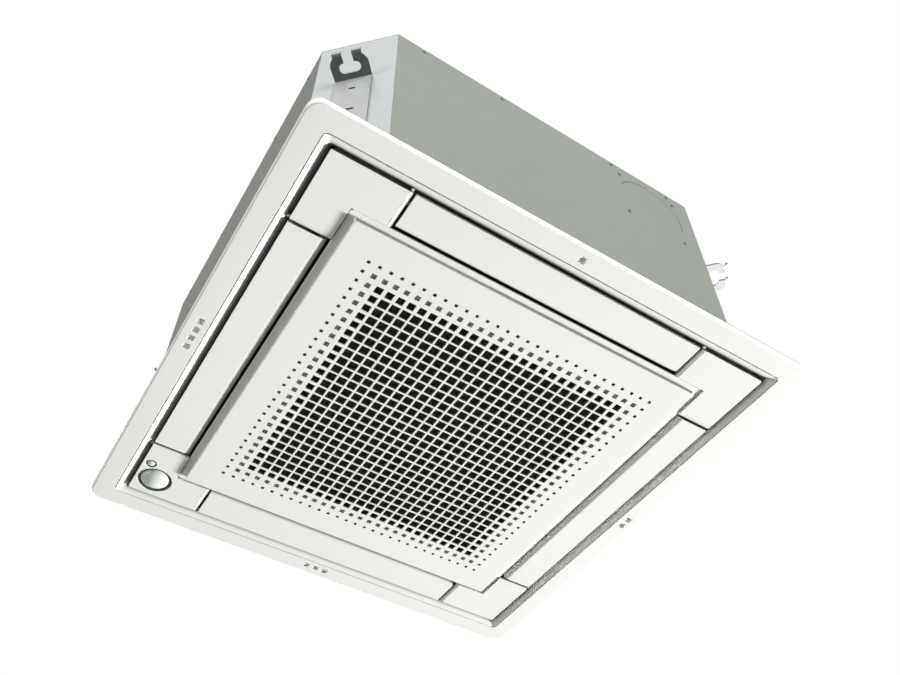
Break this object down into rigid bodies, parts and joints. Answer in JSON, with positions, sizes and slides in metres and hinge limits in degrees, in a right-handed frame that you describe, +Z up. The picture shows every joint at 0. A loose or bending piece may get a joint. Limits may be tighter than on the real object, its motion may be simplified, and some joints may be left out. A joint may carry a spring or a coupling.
{
  "type": "ceiling cassette air conditioner",
  "caption": "Square flush panel with air flaps round a lattice suction grille, below a sheet-metal casing that hides above the ceiling on rod brackets",
  "frame": {"origin": "middle of the panel in the ceiling plane, on the flat face of the panel that meets the ceiling", "axes": "+Z points up into the ceiling and is the fan axis; +Y points to the side with the grille hinges; +X points to the side with the pipe connections"},
  "size_m": [0.6455, 0.62, 0.3089],
  "materials": {
    "panel_white": "semi-matte moulded ABS",
    "seal_foam": "closed-cell foam strip",
    "black_plastic": "matte moulded plastic",
    "dome_gloss": "glossy infrared-clear plastic",
    "motor_steel": "plated steel",
    "screw_steel": "zinc-plated steel",
    "latch_plastic": "moulded plastic",
    "filter_plastic": "moulded plastic",
    "filter_net": "fine woven net",
    "galvanised_sheet": "hot-dip galvanised sheet",
    "liner_foam": "foam insulation",
    "pan_foam": "moulded polystyrene foam",
    "fin_aluminium": "thin stamped fins",
    "copper": "drawn copper tube",
    "brass": "turned brass",
    "hose_rubber": "soft rubber",
    "socket_plastic": "moulded plastic",
    "float_foam": "closed-cell foam",
    "fan_plastic": "moulded plastic",
    "board_green": "printed circuit board"
  },
  "bodies": {
    "unit": {"air_temperature_sensor": "black_plastic", "bell_mouth": "fan_plastic", "cable_grommets": "hose_rubber", "casing_screws": "screw_steel", "circuit_board": "board_green", "coil_end_plates": "galvanised_sheet", "coil_fin_pack": "fin_aluminium", "coil_return_bends": "copper", "control_box": "galvanised_sheet", "control_box_cover": "galvanised_sheet", "corner_cover_front_left": "panel_white", "corner_cover_front_right": "panel_white", "corner_cover_rear_left": "panel_white", "corner_cover_rear_right": "panel_white", "drain_hose": "hose_rubber", "drain_pan": "pan_foam", "drain_pump": "black_plastic", "drain_socket": "socket_plastic", "fan_motor": "motor_steel", "flap_bushes": "black_plastic", "flap_motor_screws": "screw_steel", "flap_motors": "motor_steel", "flare_unions": "brass", "float_switch": "black_plastic", "foam_liner": "liner_foam", "gas_pipe": "copper", "hanger_front_left": "galvanised_sheet", "hanger_front_right": "galvanised_sheet", "hanger_rear_left": "galvanised_sheet", "hanger_rear_right": "galvanised_sheet", "liquid_pipe": "copper", "motor_bolts": "screw_steel", "motor_bushes": "hose_rubber", "panel_frame": "panel_white", "panel_screws": "screw_steel", "panel_seal": "seal_foam", "pipe_plate": "galvanised_sheet", "pump_bracket": "galvanised_sheet", "sensor_dome": "dome_gloss", "sensor_housing": "black_plastic", "sensor_lens": "dome_gloss", "side_casing": "galvanised_sheet", "terminal_block": "socket_plastic", "top_insulation": "liner_foam", "top_plate": "galvanised_sheet"},
    "suction_grille": {"suction_grille": "panel_white", "grille_hinge_pins": "screw_steel", "filter_frame": "filter_plastic", "filter_mesh": "filter_net"},
    "grille_latch_left": {"grille_latch_left": "latch_plastic"},
    "grille_latch_right": {"grille_latch_right": "latch_plastic"},
    "fan_rotor": {"turbo_fan": "fan_plastic", "fan_shaft": "motor_steel", "fan_flange_nut": "screw_steel"},
    "pump_impeller": {"pump_impeller": "fan_plastic"},
    "float": {"float_ring": "float_foam"},
    "air_flap_right": {"flap_right": "panel_white"},
    "air_flap_rear": {"flap_rear": "panel_white"},
    "air_flap_left": {"flap_left": "panel_white"},
    "air_flap_front": {"flap_front": "panel_white"}
  },
  "joints": [
    {"name": "flap_right_turn", "type": "hinge", "parent": "unit", "child": "air_flap_right", "pos_m": [0.245, 0, 0.0055], "axis": [0, 1, 0], "range_deg": [0, 60]},
    {"name": "flap_rear_turn", "type": "hinge", "parent": "unit", "child": "air_flap_rear", "pos_m": [0, 0.245, 0.0055], "axis": [-1, 0, 0], "range_deg": [0, 60]},
    {"name": "flap_left_turn", "type": "hinge", "parent": "unit", "child": "air_flap_left", "pos_m": [-0.245, 0, 0.0055], "axis": [0, -1, 0], "range_deg": [0, 60]},
    {"name": "flap_front_turn", "type": "hinge", "parent": "unit", "child": "air_flap_front", "pos_m": [0, -0.245, 0.0055], "axis": [1, 0, 0], "range_deg": [0, 60]},
    {"name": "grille_open", "type": "hinge", "parent": "unit", "child": "suction_grille", "pos_m": [0, 0.215, -0.005], "axis": [1, 0, 0], "range_deg": [0, 90]},
    {"name": "latch_left_slide", "type": "slide", "parent": "suction_grille", "child": "grille_latch_left", "axis": [0, -1, 0], "range_m": [0, 0.004]},
    {"name": "latch_right_slide", "type": "slide", "parent": "suction_grille", "child": "grille_latch_right", "axis": [0, -1, 0], "range_m": [0, 0.004]},
    {"name": "fan_spin", "type": "hinge", "parent": "unit", "child": "fan_rotor", "pos_m": [0, 0, 0.2], "axis": [0, 0, 1], "continuous": true},
    {"name": "pump_spin", "type": "hinge", "parent": "unit", "child": "pump_impeller", "pos_m": [0.214, -0.232, 0.1], "axis": [0, 0, 1], "continuous": true},
    {"name": "float_rise", "type": "slide", "parent": "unit", "child": "float", "axis": [0, 0, 1], "range_m": [0, 0.012]}
  ]
}
